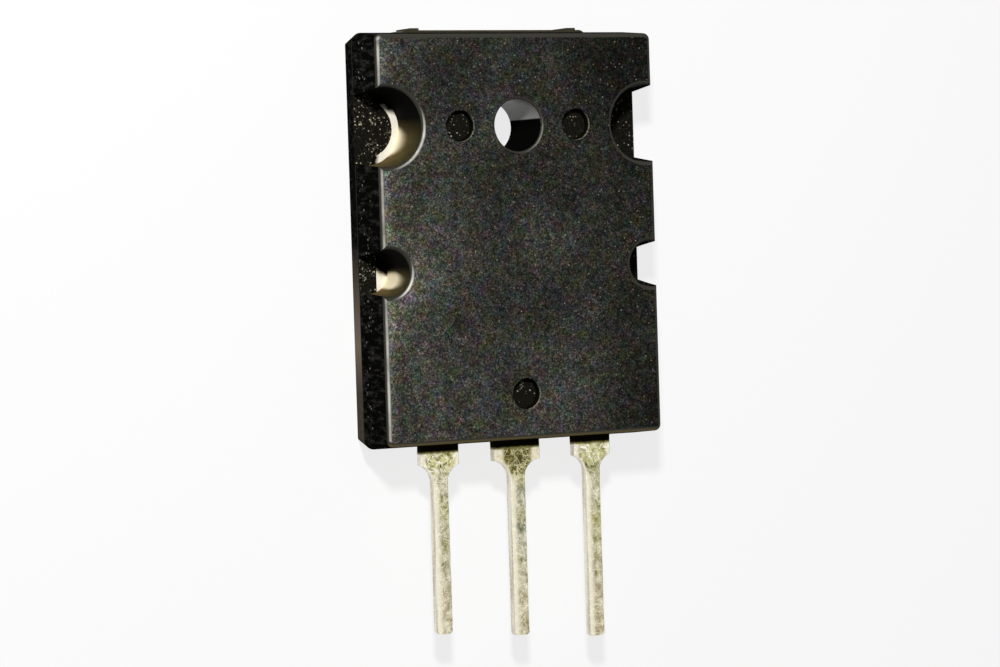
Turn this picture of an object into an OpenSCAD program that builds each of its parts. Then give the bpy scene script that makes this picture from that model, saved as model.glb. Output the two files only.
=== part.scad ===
// NPN power transistor in a large moulded package with one screw hole and three in-line leads.
//
// The origin is on the screw hole's axis, in the plane of the mounting face.
// Seen from the front, +X is to the right and +Y is towards the top edge; +Z points out of the front face.
// All sizes are in millimetres and all angles in degrees.

/* [Moulded body] */
// Width across the parting line
body_w = 20; // [19:0.1:24]
// Height from the top edge to the bottom edge, along the parting line
body_h = 26; // [24:0.1:32]
// Thickness from the mounting face to the front face
body_t = 5; // [4.6:0.1:6]
// Draft of the walls in front of the parting line
front_draft = 5; // [2:0.5:7]
// Draft of the walls behind the parting line
back_draft = 14; // [4:0.5:16]
// Radius of the four upright corners, along the parting line
corner_r = 0.65; // [0.6:0.05:1.5]
// Radius of the edge round the front face
front_edge_r = 0.3; // [0.1:0.05:0.3]

/* [Screw hole] */
// Diameter of the screw hole
hole_d = 3.3; // [3:0.1:4]
// Hole axis below the body's top edge
hole_drop = 6; // [5:0.1:8]
// Radius of the hole's front edge
hole_edge_r = 0.15; // [0.05:0.05:0.3]
// Distance that the hole's lining stays back from the mounting face
lining_setback = 0.8; // [0.2:0.1:1.4]

/* [Side notches] */
// Radius of the upper notches at the front face
upper_notch_r = 2.5; // [2:0.1:2.8]
// Centre of the upper notches, in from the body's side
upper_notch_in = 0.8; // [0.4:0.1:1.4]
// Radius of the lower notches at the front face
lower_notch_r = 1.5; // [1.2:0.1:2]
// Centre of the lower notches, in from the body's side
lower_notch_in = 0.7; // [0.4:0.1:1.2]
// Lower notches below the upper ones
notch_step = 9; // [7:0.1:11]
// Draft of the notch walls
notch_draft = 4.5; // [1:0.5:8]
// Radius of the notches' front edges
notch_edge_r = 0.25; // [0.1:0.05:0.3]

/* [Ejector marks] */
// Diameter of the round marks at the front face
mark_d = 2; // [1.5:0.1:2.4]
// Depth of the marks
mark_depth = 0.5; // [0.1:0.1:0.6]
// Draft of the marks' walls
mark_draft = 12; // [4:1:20]
// Upper marks, out from the hole axis
upper_mark_x = 4.1; // [3.6:0.1:5]
// Lower mark above the body's bottom edge
lower_mark_up = 3.1; // [2:0.1:5]

/* [Collector header] */
// Thickness of the header plate
header_t = 2; // [1.7:0.1:2.5]
// Moulding beside the header, from its side to the parting line
header_side_wall = 1.2; // [0.9:0.1:1.8]
// Height by which the header's top edge stands proud of the body
header_proud = 0.15; // [0.05:0.05:0.5]
// Header's lower edge above the body's bottom edge
header_foot_up = 5; // [4:0.1:6]
// Width of the step at each of the header's top shoulders
shoulder_step_w = 2.15; // [1:0.05:3]
// Depth of that step, below the body's top edge
shoulder_step_h = 2; // [1:0.1:2.8]
// Width of the sheared tie bar stubs on the header's top edge
tie_bar_w = 0.6; // [0.4:0.1:1]
// Height of the tie bar stubs
tie_bar_l = 0.13; // [0.05:0.01:0.3]
// Centre of the tie bar stubs, in from the sides of the header's top edge
tie_bar_in = 1.05; // [0.8:0.05:3]
// Radius of the header's outer corners
header_corner_r = 0.5; // [0.2:0.1:0.8]
// Diameter of the hole in the header, round the screw hole's lining
header_hole_d = 4.6; // [4.2:0.1:5.6]
// Radius of the half-round cut-outs in the header's sides, round the upper notches' centres
header_notch_r = 1.8; // [1.5:0.1:2.3]
// Width of the locking step that the moulding grips, round the header's back
lock_w = 0.5; // [0.2:0.1:0.7]
// Height of the locking step
lock_h = 1; // [0.5:0.1:1.3]

/* [Leads] */
// Distance between neighbouring leads
lead_pitch = 5.45; // [4.6:0.05:6.6]
// Width of each lead
lead_w = 1; // [0.8:0.05:1.3]
// Thickness of the lead strip
lead_t = 0.6; // [0.4:0.05:0.75]
// Lead's back face above the mounting face
lead_z = 2.8; // [2.5:0.1:3.4]
// Length of the base lead below the body
base_lead_l = 11.8; // [5:0.1:22]
// Length of the collector lead below the body
collector_lead_l = 12.3; // [5:0.1:22]
// Length of the emitter lead below the body
emitter_lead_l = 12.8; // [5:0.1:22]
// Width of the outer leads' shoulders
outer_shoulder_w = 2.65; // [2.2:0.05:3.2]
// Width of the middle lead's shoulder
middle_shoulder_w = 3.25; // [2.6:0.05:3.9]
// Straight length of the shoulders below the body
shoulder_l = 1.15; // [0.6:0.05:3]
// Radius of the curves that narrow a shoulder to its lead
shoulder_r = 1.15; // [1.15:0.05:2]
// Flat left at the shoulders' lower corners
shoulder_lip = 0.05; // [0.02:0.01:0.3]
// Chamfer at the lead tips
tip_chamfer = 0.15; // [0.05:0.05:0.3]
// Width of the outer leads' bonding posts, inside the body
post_w = 4.6; // [3.4:0.1:5]
// Height of the bonding posts
post_h = 2.2; // [1.6:0.1:2.6]
// Posts above the body's bottom edge
post_up = 1.2; // [0.8:0.1:1.6]
// Length of the middle lead's bend, down to the header
bend_l = 1.6; // [1.2:0.1:2.4]

/* [Chip and bond wires] */
// Side of the square silicon chip
chip_w = 5.4; // [4.4:0.1:6.6]
// Thickness of the chip
chip_t = 0.25; // [0.15:0.05:0.35]
// Centre of the chip above the body's bottom edge
chip_up = 10.4; // [9.4:0.1:13]
// Thickness of the solder under the chip
solder_t = 0.06; // [0.03:0.01:0.12]
// Solder showing round the chip
solder_margin = 0.15; // [0.05:0.05:0.4]
// Diameter of the base wire
base_wire_d = 0.38; // [0.25:0.01:0.5]
// Diameter of each emitter wire
emitter_wire_d = 0.5; // [0.3:0.01:0.6]
// Moulding left over the wire loops
wire_cover = 0.6; // [0.4:0.05:0.8]
// Distance between neighbouring wires on the chip
chip_wire_pitch = 1.6; // [1.4:0.1:1.9]
// Distance between the two emitter wires on their post
post_wire_pitch = 1.8; // [1:0.1:2.2]
// Wires' feet below the chip's centre
chip_wire_drop = 1.2; // [0:0.1:1.6]

/* [Hidden] */
$fn = 72;
// Length by which a cutter passes the face that it opens
over = 1;
// Amount by which a rounding's circle passes the faces that it blends, so that it cuts them cleanly
bite = 0.001;

// The mould parts at the header's front face, so the notches have that face as their floor
parting_z = header_t;
top_y = hole_drop;
bottom_y = top_y - body_h;
back_inset = parting_z * tan(back_draft);
core_w = body_w - 2 * corner_r;
core_h = body_h - 2 * corner_r;
body_mid_y = top_y - body_h / 2;

upper_notch_x = body_w / 2 - upper_notch_in;
lower_notch_x = body_w / 2 - lower_notch_in;

header_w = body_w - 2 * header_side_wall;
header_top_y = top_y + header_proud;
header_step_y = top_y - shoulder_step_h;
header_foot_y = bottom_y + header_foot_up;
header_tab_w = header_w - 2 * shoulder_step_w;
tie_bar_x = header_tab_w / 2 - tie_bar_in;

lead_front_z = lead_z + lead_t;
post_y = bottom_y + post_up + post_h / 2;

chip_y = bottom_y + chip_up;
chip_z = header_t + solder_t;
chip_front_z = chip_z + chip_t;
wire_y = chip_y - chip_wire_drop;
// A bonded foot is the wire pressed flat: how long, wide and thick it is, for a wire of diameter 1
foot_shape = [2.6, 1.4, 0.5];

// Half section of the body's rim, outwards from a corner's centre line, with both drafts and the round edge
module rim_section() {
    edge_z = body_t - front_edge_r;
    edge_x = corner_r - (edge_z - parting_z) * tan(front_draft) - front_edge_r / cos(front_draft);
    polygon([
        [0, 0],
        [corner_r - back_inset, 0],
        [corner_r, parting_z],
        [edge_x + front_edge_r * cos(front_draft), edge_z + front_edge_r * sin(front_draft)],
        [edge_x, body_t],
        [0, body_t]
    ]);
    intersection() {
        translate([edge_x, edge_z]) circle(r = front_edge_r + bite);
        square([corner_r, body_t]);
    }
}

module straight_rim(length) {
    translate([0, length / 2, 0]) rotate([90, 0, 0]) linear_extrude(height = length) rim_section();
}

// The rounded block that fills the mould, before anything is cut from it
module body_blank() {
    translate([0, body_mid_y, 0]) {
        translate([-core_w / 2, -core_h / 2, 0]) cube([core_w, core_h, body_t]);
        for (side = [0, 180]) {
            rotate([0, 0, side]) translate([core_w / 2, 0, 0]) straight_rim(core_h);
            rotate([0, 0, side + 90]) translate([core_h / 2, 0, 0]) straight_rim(core_w);
        }
        for (sx = [0, 1], sy = [0, 1])
            mirror([sx, 0, 0]) mirror([0, sy, 0])
                translate([core_w / 2, core_h / 2, 0]) rotate_extrude(angle = 90) rim_section();
    }
}

// Cutter for a round recess in the front face: radius r there, drafted wall, flat floor and rounded edge
module front_recess(r, floor_z, draft, edge_r) {
    edge_z = body_t - edge_r;
    edge_x = r - edge_r * tan(draft) + edge_r / cos(draft);
    rotate_extrude() difference() {
        polygon([
            [0, floor_z],
            [r - (body_t - floor_z) * tan(draft), floor_z],
            [edge_x - edge_r * cos(draft), edge_z + edge_r * sin(draft)],
            [edge_x, edge_z],
            [edge_x, body_t + over],
            [0, body_t + over]
        ]);
        translate([edge_x, edge_z]) circle(r = edge_r + bite);
    }
}

module ejector_mark() {
    mark_floor_r = mark_d / 2 - mark_depth * tan(mark_draft);
    mark_mouth_r = mark_d / 2 + over * tan(mark_draft);
    translate([0, 0, body_t - mark_depth])
        cylinder(h = mark_depth + over, r1 = mark_floor_r, r2 = mark_mouth_r);
}

module in_each_side_notch() {
    for (side = [-1, 1]) {
        translate([side * upper_notch_x, 0, 0])
            front_recess(upper_notch_r, header_t, notch_draft, notch_edge_r);
        translate([side * lower_notch_x, -notch_step, 0])
            front_recess(lower_notch_r, header_t, notch_draft, notch_edge_r);
    }
}

// The compound is moulded round everything inside it, so it has their exact shapes as hollows
module moulded_body() {
    color("#26262a") difference() {
        union() {
            difference() {
                body_blank();
                header_plate();
            }
            // lining of the screw hole, inside the header's own hole
            translate([0, 0, lining_setback]) cylinder(h = body_t / 2 - lining_setback, d = header_hole_d);
        }
        in_each_side_notch();
        front_recess(hole_d / 2, -over, 0, hole_edge_r);
        for (side = [-1, 1]) translate([side * upper_mark_x, 0, 0]) ejector_mark();
        translate([0, bottom_y + lower_mark_up, 0]) ejector_mark();
        collector_lead();
        outer_lead(-1, base_lead_l);
        outer_lead(1, emitter_lead_l);
        solder_pad();
        chip();
        wire_to_base();
        for (place = [0, 1]) wire_to_emitter(place);
    }
}

// Outline of the header, inset all round by the locking step; the top edge isn't inset
module header_outline(inset) {
    foot = header_foot_y + inset;
    half_w = header_w / 2 - inset;
    difference() {
        union() {
            // wide part, with rounded lower corners
            translate([-half_w, foot + header_corner_r])
                square([2 * half_w, header_step_y - inset - foot - header_corner_r]);
            translate([-half_w + header_corner_r, foot])
                square([2 * (half_w - header_corner_r), header_corner_r]);
            for (side = [-1, 1])
                translate([side * (half_w - header_corner_r), foot + header_corner_r])
                    circle(r = header_corner_r);
            // narrow tab at the top
            translate([-header_tab_w / 2, header_step_y - inset - over])
                square([header_tab_w, header_top_y - header_corner_r - header_step_y + inset + over]);
            translate([-header_tab_w / 2 + header_corner_r, header_top_y - header_corner_r])
                square([header_tab_w - 2 * header_corner_r, header_corner_r]);
            for (side = [-1, 1])
                translate([side * (header_tab_w / 2 - header_corner_r), header_top_y - header_corner_r])
                    circle(r = header_corner_r);
            // stubs of the two tie bars that held it in its strip
            for (side = [-1, 1])
                translate([side * tie_bar_x - tie_bar_w / 2, header_step_y])
                    square([tie_bar_w, header_top_y + tie_bar_l - header_step_y]);
        }
        for (side = [-1, 1]) translate([side * upper_notch_x, 0]) circle(r = header_notch_r + inset);
    }
}

module header_plate() {
    linear_extrude(height = lock_h) header_outline(lock_w);
    translate([0, 0, lock_h]) linear_extrude(height = header_t - lock_h) header_outline(0);
}

// Shaft of a lead from the body's bottom edge down, with its shoulder and the two curves that narrow it
module lead_outline(shoulder_w, length, root) {
    tip_y = bottom_y - length;
    neck_y = bottom_y - shoulder_l;
    overhang = (shoulder_w - lead_w) / 2;
    curve_w = overhang - shoulder_lip;
    // the curve leaves the lead upright and rises all the way to the shoulder's flat
    curve_r = max(shoulder_r, overhang);
    curve_h = sqrt(curve_w * (2 * curve_r - curve_w));
    polygon([
        [-lead_w / 2, neck_y],
        [-lead_w / 2, tip_y + tip_chamfer],
        [-lead_w / 2 + tip_chamfer, tip_y],
        [lead_w / 2 - tip_chamfer, tip_y],
        [lead_w / 2, tip_y + tip_chamfer],
        [lead_w / 2, neck_y]
    ]);
    translate([-shoulder_w / 2, neck_y]) square([shoulder_w, shoulder_l + root]);
    for (side = [-1, 1]) difference() {
        translate([side * (lead_w + overhang) / 2, neck_y - curve_h / 2])
            square([overhang, curve_h], center = true);
        translate([side * (lead_w / 2 + curve_r), neck_y - curve_h]) circle(r = curve_r);
    }
}

// An outer lead with the post that its bond wires end on; side is -1 for the base and 1 for the emitter
module outer_lead(side, length) {
    translate([side * lead_pitch, 0, lead_z]) linear_extrude(height = lead_t) {
        lead_outline(outer_shoulder_w, length, post_up);
        translate([-post_w / 2, bottom_y + post_up]) square([post_w, post_h]);
    }
}

// The middle lead and its bend down to the header's lower edge, flush with the header's front face
module collector_lead() {
    root = header_foot_up - bend_l;
    bend_y = bottom_y + root;
    translate([0, 0, lead_z]) linear_extrude(height = lead_t)
        lead_outline(middle_shoulder_w, collector_lead_l, root);
    translate([-middle_shoulder_w / 2, 0, 0]) rotate([90, 0, 90]) linear_extrude(height = middle_shoulder_w)
        polygon([
            [bend_y, lead_z],
            [bend_y, lead_front_z],
            [header_foot_y, header_t],
            [header_foot_y + header_corner_r, header_t],
            [header_foot_y + header_corner_r, header_t - lead_t],
            [header_foot_y, header_t - lead_t]
        ]);
}

module collector_header() {
    color("#c9a27a") {
        difference() {
            header_plate();
            translate([0, 0, -over]) cylinder(h = header_t + 2 * over, d = header_hole_d);
        }
        collector_lead();
    }
}

module base_lead() {
    color("#cfcab8") outer_lead(-1, base_lead_l);
}

module emitter_lead() {
    color("#cfcab8") outer_lead(1, emitter_lead_l);
}

module solder_pad() {
    side = chip_w + 2 * solder_margin;
    translate([-side / 2, chip_y - side / 2, header_t]) cube([side, side, solder_t]);
}

module chip() {
    translate([-chip_w / 2, chip_y - chip_w / 2, chip_z]) cube([chip_w, chip_w, chip_t]);
}

module silicon_chip() {
    color("#5b5f6b") chip();
}

module die_solder() {
    color("#9a9a98") solder_pad();
}

// A bonded wire of diameter d from one face to another: a flat foot at each end and a round loop between
module bond_wire(start, end, d) {
    span = end - start;
    run = norm([span.x, span.y]);
    chord = norm(span);
    // the loop's highest point lies under the moulding that has to be left over it
    rise = body_t - wire_cover - d - (start.z + end.z) / 2;
    loop_r = (pow(chord / 2, 2) + pow(rise, 2)) / (2 * rise);
    half_angle = asin(chord / 2 / loop_r);
    translate([start.x, start.y, start.z + d / 2]) rotate([0, 0, atan2(span.y, span.x)]) {
        rotate([0, -atan2(span.z, run), 0]) translate([chord / 2, 0, rise - loop_r])
            rotate([90, 0, 0]) rotate([0, 0, 90 - half_angle])
                rotate_extrude(angle = 2 * half_angle) translate([loop_r, 0]) circle(d = d);
        for (foot = [[d - foot_shape[0] * d, 0], [run - d, span.z]])
            translate([foot[0], -foot_shape[1] * d / 2, foot[1] - d / 2]) cube(foot_shape * d);
    }
}

module wire_to_base() {
    bond_wire([-chip_wire_pitch, wire_y, chip_front_z], [-lead_pitch, post_y, lead_front_z], base_wire_d);
}

// The two emitter wires side by side; place 0 is the inner one
module wire_to_emitter(place) {
    bond_wire(
        [place * chip_wire_pitch, wire_y, chip_front_z],
        [lead_pitch + (place - 0.5) * post_wire_pitch, post_y, lead_front_z],
        emitter_wire_d
    );
}

module base_wire() {
    color("#d8d9db") wire_to_base();
}

module emitter_wire_inner() {
    color("#d8d9db") wire_to_emitter(0);
}

module emitter_wire_outer() {
    color("#d8d9db") wire_to_emitter(1);
}

moulded_body();
collector_header();
base_lead();
emitter_lead();
silicon_chip();
die_solder();
base_wire();
emitter_wire_inner();
emitter_wire_outer();
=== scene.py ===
"""An NPN power transistor: the finish of each part, and a studio round it.

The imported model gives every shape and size. It lies on its metal back with its front face up: +X is to the
right and +Y points away from the leads. What comes from the frame is in metres. Sizes that are written here
are in millimetres, and MM turns them to metres.
"""

import math

import bmesh
import bpy
from mathutils import Matrix, Vector, noise


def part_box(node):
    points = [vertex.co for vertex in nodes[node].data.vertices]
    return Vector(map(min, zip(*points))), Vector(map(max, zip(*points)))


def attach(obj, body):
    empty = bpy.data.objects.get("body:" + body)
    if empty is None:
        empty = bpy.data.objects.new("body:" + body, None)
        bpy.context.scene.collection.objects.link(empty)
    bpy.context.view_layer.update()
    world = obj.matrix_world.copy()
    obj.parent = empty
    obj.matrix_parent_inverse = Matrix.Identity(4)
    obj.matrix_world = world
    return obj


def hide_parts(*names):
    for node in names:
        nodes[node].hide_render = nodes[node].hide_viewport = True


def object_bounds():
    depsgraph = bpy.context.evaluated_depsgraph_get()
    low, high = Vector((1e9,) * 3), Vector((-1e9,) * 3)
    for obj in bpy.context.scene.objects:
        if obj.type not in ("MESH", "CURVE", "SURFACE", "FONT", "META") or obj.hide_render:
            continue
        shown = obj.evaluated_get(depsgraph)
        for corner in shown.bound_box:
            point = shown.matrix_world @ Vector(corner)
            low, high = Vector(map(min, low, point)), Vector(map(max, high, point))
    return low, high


MM = 0.001

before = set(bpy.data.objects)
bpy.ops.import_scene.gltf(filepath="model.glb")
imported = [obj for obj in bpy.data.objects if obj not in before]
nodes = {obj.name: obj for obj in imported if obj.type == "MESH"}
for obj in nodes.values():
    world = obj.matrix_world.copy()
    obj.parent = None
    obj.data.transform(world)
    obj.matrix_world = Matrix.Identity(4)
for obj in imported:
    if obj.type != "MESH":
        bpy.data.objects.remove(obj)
cad_low, cad_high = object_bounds()
body_low, body_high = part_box("moulded_body")
body_middle = (body_low + body_high) / 2
body_half = (body_high - body_low) / 2
parting_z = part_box("die_solder")[0].z  # the chip is soldered to the header's front, where the mould parts
header_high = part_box("collector_header")[1]
lead_pitch = (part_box("emitter_lead")[0].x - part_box("base_lead")[0].x) / 2


# Camera, as angles from straight above the front face

CAMERA_LEFT = math.radians(27.46)
CAMERA_UP = math.radians(1.95)
CAMERA_ROLL = math.radians(-1.8)
CAMERA_DISTANCE = 213
CAMERA_LENS = 120.6
SENSOR_WIDTH = 36
AIM_OFFSET = Vector((-0.38, -6.125, -0.19))  # from the middle of the moulded body


def direction(left, up):
    """A unit vector out of the front face, swung to the left and up by those angles in radians."""
    return Vector((-math.sin(left) * math.cos(up), math.sin(up), math.cos(left) * math.cos(up)))


def look(target, back, distance, roll=0.0):
    """The place and turn of a camera or lamp `distance` from its target, with +Y up in its picture."""
    right = Vector((0, 1, 0)).cross(back).normalized()
    turn = Matrix((right, back.cross(right), back)).transposed().to_4x4()
    return Matrix.Translation(target + back * distance * MM) @ turn @ Matrix.Rotation(roll, 4, "Z")


def add_camera():
    data = bpy.data.cameras.new("camera")
    data.sensor_width = SENSOR_WIDTH
    data.lens = CAMERA_LENS
    data.clip_start = 0.01
    data.clip_end = 20
    camera = bpy.data.objects.new("camera", data)
    bpy.context.scene.collection.objects.link(camera)
    back = direction(CAMERA_LEFT, CAMERA_UP)
    camera.matrix_world = look(body_middle + AIM_OFFSET * MM, back, CAMERA_DISTANCE, CAMERA_ROLL)
    bpy.context.scene.camera = camera


# Node trees


def linear(hex_colour):
    """An sRGB hex colour as linear RGBA."""
    values = [int(hex_colour[i : i + 2], 16) / 255 for i in (1, 3, 5)]
    return [v / 12.92 if v <= 0.04045 else ((v + 0.055) / 1.055) ** 2.4 for v in values] + [1.0]


def per(size):
    """The scale at which a pattern on Object coordinates has features `size` millimetres across."""
    return 1 / (size * MM)


def add(tree, kind, inputs=(), output=None, **settings):
    """Adds a node and gives back one of its outputs: the first that is in use, unless one is named.

    `settings` are the node's own, and `inputs` gives each socket a value or the output that feeds it.
    """
    node = tree.nodes.new(kind)
    for name, value in settings.items():
        setattr(node, name, value)
    for key, value in dict(inputs).items():
        named = [socket for socket in node.inputs if socket.enabled and socket.name == key]
        socket = named[0] if named else node.inputs[key]
        if isinstance(value, bpy.types.NodeSocket):
            tree.links.new(value, socket)
        else:
            socket.default_value = value
    in_use = [socket for socket in node.outputs if socket.enabled]
    return node.outputs[output] if output else next(iter(in_use), None)


def node_material(name, build, **details):
    """A material whose tree `build` fills; `build` gives back the surface shader's output."""
    material = bpy.data.materials.new(name)
    material.use_nodes = True
    tree = material.node_tree
    tree.nodes.clear()
    add(tree, "ShaderNodeOutputMaterial", {"Surface": build(tree, **details)})
    return material


# Moulding compound: where its kinds of surface are

FLAT_INSET = 0.54  # from the parting line's outline in to the flat of the front face
WALL_ZONE = 0.6  # from the outline in past the outer walls
HOLE_ZONE = 1.75  # radius round the screw hole's axis that takes in the hole's wall
RIM_ZONE = 2.2  # and its rounded rim too
NOTCH_ZONE = 4  # from the body's sides in past the notches
NOTCH_BORDER = -4.5  # between the upper and the lower notches, along Y
ZONE_BLUR = 0.1  # over which one zone gives way to the next
GRAIN_SIZE = 0.11  # coarser than most silica grains really are, so that they show
DRAG_SIZE = 0.35
DRAG_SQUEEZE = 0.35  # draws the smears of the walls out along Z
HIGHLIGHT_FACING = (-0.444, 0.241, 0.863)  # the way that edges and lips face where their painted highlight is strongest: up the body and to the left


def body_zones(tree, where):
    """The body's kinds of surface, each 1 there and 0 elsewhere: flat, sunk, rounded edge and recess wall."""
    x, y, z = add(tree, "ShaderNodeSeparateXYZ", {"Vector": where}).node.outputs
    facing = add(tree, "ShaderNodeSeparateXYZ", {"Vector": where.node.outputs["Normal"]}, "Z")
    flat = add(tree, "ShaderNodeMapRange", {"Value": facing, "From Min": 0.985, "From Max": 0.9995})
    high = add(
        tree,
        "ShaderNodeMapRange",
        {"Value": z, "From Min": body_high.z - 0.2 * MM, "From Max": body_high.z - 0.05 * MM},
    )
    sunk = add(tree, "ShaderNodeMath", {0: flat, 1: high}, operation="SUBTRACT", use_clamp=True)
    tilted = add(tree, "ShaderNodeMapRange", {"Value": facing, "From Min": 0.2, "From Max": 0.4})
    edge = add(tree, "ShaderNodeMath", {0: tilted, 1: flat}, operation="SUBTRACT", use_clamp=True)

    # inside the outer walls, where a notch, a mark or the hole goes down
    inner = 1.0
    for across, middle, half in ((x, body_middle.x, body_half.x), (y, body_middle.y, body_half.y)):
        off = add(tree, "ShaderNodeMath", {0: across, 1: middle}, operation="SUBTRACT")
        far = add(tree, "ShaderNodeMath", {0: off}, operation="ABSOLUTE")
        limit = half - WALL_ZONE * MM
        within = add(
            tree, "ShaderNodeMapRange", {"Value": far, "From Min": limit, "From Max": limit - ZONE_BLUR * MM}
        )
        inner = add(tree, "ShaderNodeMath", {0: within, 1: inner}, operation="MULTIPLY")
    recess = add(tree, "ShaderNodeMath", {0: inner, 1: tilted}, operation="SUBTRACT", use_clamp=True)
    return flat, sunk, edge, recess


def beside_lower_notches(tree, y):
    """1 level with the lower notches, and 0 level with the upper ones."""
    border = NOTCH_BORDER * MM
    return add(
        tree, "ShaderNodeMapRange", {"Value": y, "From Min": border, "From Max": border - ZONE_BLUR * MM}
    )


# Moulding compound: its flat faces

GRAIN_CONTRAST, EVEN_TONE = 6.4, -4.2  # the second sets how dark the whole front is
BLOTCH_SIZE, BLOTCH_CONTRAST = 0.45, 1.1
BLOOM_SIZE, BLOOM_CONTRAST = 6, 1.9
TINT_SIZE = 0.6
TINT_GAIN, TINT_BASE = (1.4, 1.0, 1.6), (0.3, 0.5, 0.2)  # a middling tint comes out as plain white
PAINTED_LIGHT_LEFT, PALER_DOWN = 0.046, 0.012  # added to the tone's exponent by each millimetre; the leftward one is painted light falloff
LEFT_HIGHLIGHT_WIDTH = 0.9
LEFT_HIGHLIGHT_GAIN = 1.2  # how much paler the painted highlight along the left-hand edge makes its outermost line
GLINT_SIZE = 0.1
CLUSTER_SIZE = 1.2
FEW_GLINTS, MANY_GLINTS = -5, -7  # along X: few to the right of the first, many to the left of the second


def front_face(tree, where, grain):
    """The front's colour: silica grains, bloom over many millimetres, and a trace of tint.

    Painted light falloff makes it paler to the left, it is paler at the bottom too, and a painted highlight
    makes it palest along its left-hand edge.
    """
    # the tone is a power of 4, so that grains, blotches, bloom and painted light each make it so many times
    # paler
    bloom = add(
        tree, "ShaderNodeTexNoise", {"Vector": where, "Scale": per(BLOOM_SIZE), "Detail": 3, "Roughness": 0.5}
    )
    tint = add(tree, "ShaderNodeTexNoise", {"Vector": where, "Scale": per(TINT_SIZE), "Detail": 2}, "Color")
    blotch = add(tree, "ShaderNodeTexNoise", {"Vector": where, "Scale": per(BLOTCH_SIZE), "Detail": 1})
    fine = add(tree, "ShaderNodeMath", {0: grain, 1: GRAIN_CONTRAST, 2: EVEN_TONE}, operation="MULTIPLY_ADD")
    blotched = add(tree, "ShaderNodeMath", {0: blotch, 1: BLOTCH_CONTRAST, 2: fine}, operation="MULTIPLY_ADD")
    uneven = add(tree, "ShaderNodeMath", {0: bloom, 1: BLOOM_CONTRAST, 2: blotched}, operation="MULTIPLY_ADD")
    paler = (-PAINTED_LIGHT_LEFT / MM, -PALER_DOWN / MM, 0)
    slope = add(tree, "ShaderNodeVectorMath", {0: where, 1: paler}, "Value", operation="DOT_PRODUCT")
    exponent = add(tree, "ShaderNodeMath", {0: uneven, 1: slope}, operation="ADD")
    tone = add(tree, "ShaderNodeMath", {0: 4.0, 1: exponent}, operation="POWER")

    # painted highlight: the flat grows paler close to its left-hand edge
    x = add(tree, "ShaderNodeSeparateXYZ", {"Vector": where}, "X")
    left = body_low.x + FLAT_INSET * MM
    close = add(tree, "ShaderNodeMapRange", {"Value": x, "From Min": left + LEFT_HIGHLIGHT_WIDTH * MM, "From Max": left})
    left_highlight = add(tree, "ShaderNodeMath", {0: close, 1: 2.0}, operation="POWER")
    gain = add(tree, "ShaderNodeMath", {0: left_highlight, 1: LEFT_HIGHLIGHT_GAIN, 2: 1.0}, operation="MULTIPLY_ADD")
    level = add(tree, "ShaderNodeMath", {0: tone, 1: gain}, operation="MULTIPLY")
    hue = add(
        tree,
        "ShaderNodeVectorMath",
        {0: tint, 1: TINT_GAIN, 2: TINT_BASE},
        operation="MULTIPLY_ADD",
    )
    shade = add(tree, "ShaderNodeVectorMath", {0: hue, "Scale": level}, operation="SCALE")
    return add(tree, "ShaderNodeVectorMath", {0: linear("#1f1f1c")[:3], 1: shade}, operation="MULTIPLY")


def shaded_recess_floor(tree, grain):
    """The floors of the notches and marks: darker than the front with painted shade, and grainy."""
    rough = add(tree, "ShaderNodeMapRange", {"Value": grain, "From Min": 0.35, "From Max": 0.65})
    return add(
        tree,
        "ShaderNodeMix",
        {"Factor": rough, "A": linear("#080806"), "B": linear("#24231d")},
        data_type="RGBA",
    )


def glints(tree, where, sunk):
    """Painted glints of exposed, shining grains: how much of each shows. Many are faint, and few are bright.

    The floors have more than the front, in clusters, and the floors on the left have the most.
    """
    x = add(tree, "ShaderNodeSeparateXYZ", {"Vector": where}, "X")
    leftward = add(
        tree,
        "ShaderNodeMapRange",
        {"Value": x, "From Min": FEW_GLINTS * MM, "From Max": MANY_GLINTS * MM, "To Min": 0.1, "To Max": 0.4},
    )
    clusters = add(tree, "ShaderNodeTexNoise", {"Vector": where, "Scale": per(CLUSTER_SIZE), "Detail": 1})
    crowded = add(tree, "ShaderNodeMapRange", {"Value": clusters, "From Min": 0.35, "From Max": 0.65})
    more = add(tree, "ShaderNodeMath", {0: crowded, 1: leftward}, operation="MULTIPLY")
    cells = add(tree, "ShaderNodeTexVoronoi", {"Vector": where, "Scale": per(GLINT_SIZE)}, "Color")
    chance, shine, _ = add(tree, "ShaderNodeSeparateColor", {"Color": cells}).node.outputs
    luck = add(tree, "ShaderNodeMath", {0: sunk, 1: more, 2: chance}, operation="MULTIPLY_ADD")
    lucky = add(tree, "ShaderNodeMapRange", {"Value": luck, "From Min": 0.93, "From Max": 0.96})
    varied = add(tree, "ShaderNodeMath", {0: shine, 1: 2.4}, operation="POWER")
    bright = add(tree, "ShaderNodeMath", {0: lucky, 1: varied}, operation="MULTIPLY")
    core = add(
        tree,
        "ShaderNodeMapRange",
        {"Value": cells.node.outputs["Distance"], "From Min": 0.65, "From Max": 0.1},
    )
    speck = add(tree, "ShaderNodeMath", {0: bright, 1: core}, operation="MULTIPLY")
    level = add(tree, "ShaderNodeMapRange", {"Value": sunk, "To Min": 0.4})
    return add(tree, "ShaderNodeMath", {0: speck, 1: level}, operation="MULTIPLY")


# Moulding compound: its outer walls

FLECK_SIZE = 0.22
REFLECTION_FULL = 6.5  # from the body's middle down to where the painted reflection is full
REFLECTION_END = 9.5  # and to where it has faded
REFLECTION_REST = 0.35  # what is left of it there
FLASH_HALF = 0.06  # from the parting line to the end of the mould's flash


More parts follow.
